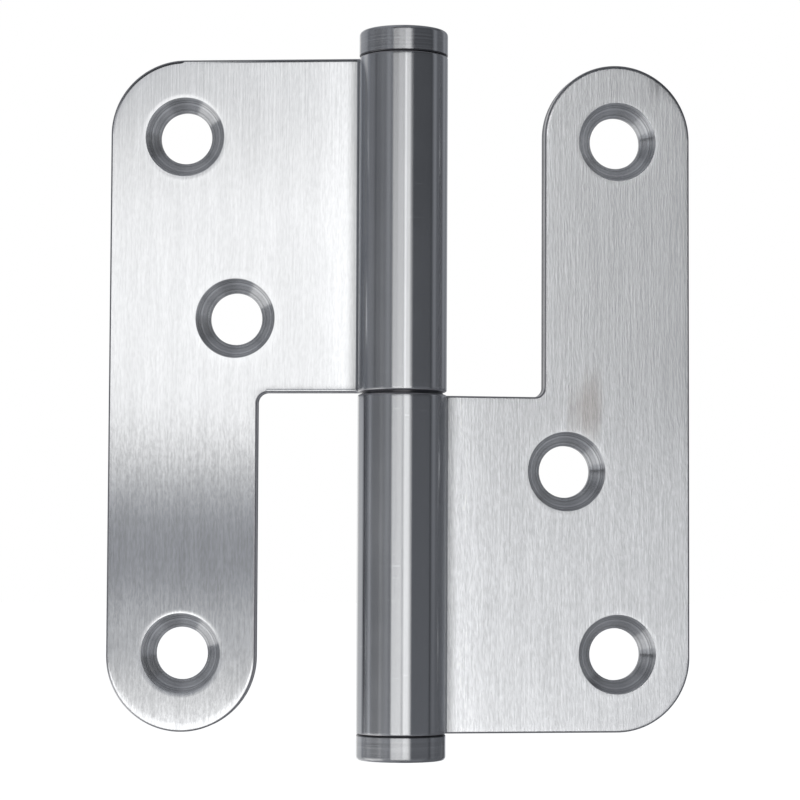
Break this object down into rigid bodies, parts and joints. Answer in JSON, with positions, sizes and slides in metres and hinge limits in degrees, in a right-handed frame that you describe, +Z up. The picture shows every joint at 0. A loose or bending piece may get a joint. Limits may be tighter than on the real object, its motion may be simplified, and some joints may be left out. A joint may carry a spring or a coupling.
{
  "type": "lift-off hinge",
  "caption": "Lift-off door hinge: stamped leaves with a leg, a notch and countersunk screw holes, rolled knuckles on a fixed pin, and turned end caps.",
  "frame": {"origin": "on the frame leaf's back face, halfway between its two end holes and level with the joint between the knuckles", "axes": "+Z up along the pin, -Y towards the countersunk side, +X along the frame leaf away from the pin"},
  "size_m": [0.0691, 0.0159, 0.086],
  "materials": {
    "leaf_steel": "satin stainless sheet, brushed along the pin",
    "cap_steel": "turned stainless steel",
    "pin_steel": "ground stainless steel, greased"
  },
  "bodies": {
    "frame_half": {"frame_leaf": "leaf_steel", "hinge_pin": "pin_steel", "bottom_cap": "cap_steel"},
    "washer": {"thrust_washer": "pin_steel"},
    "door_half": {"door_leaf": "leaf_steel", "top_cap": "cap_steel"}
  },
  "joints": [
    {"name": "swing", "type": "hinge", "parent": "frame_half", "child": "washer", "pos_m": [-0.0262, -0.0024, 0], "axis": [0, 0, 1], "range_deg": [-150, 193.6]},
    {"name": "lift_off", "type": "slide", "parent": "washer", "child": "door_half", "axis": [0, 0, 1], "range_m": [0, 0.036]}
  ]
}
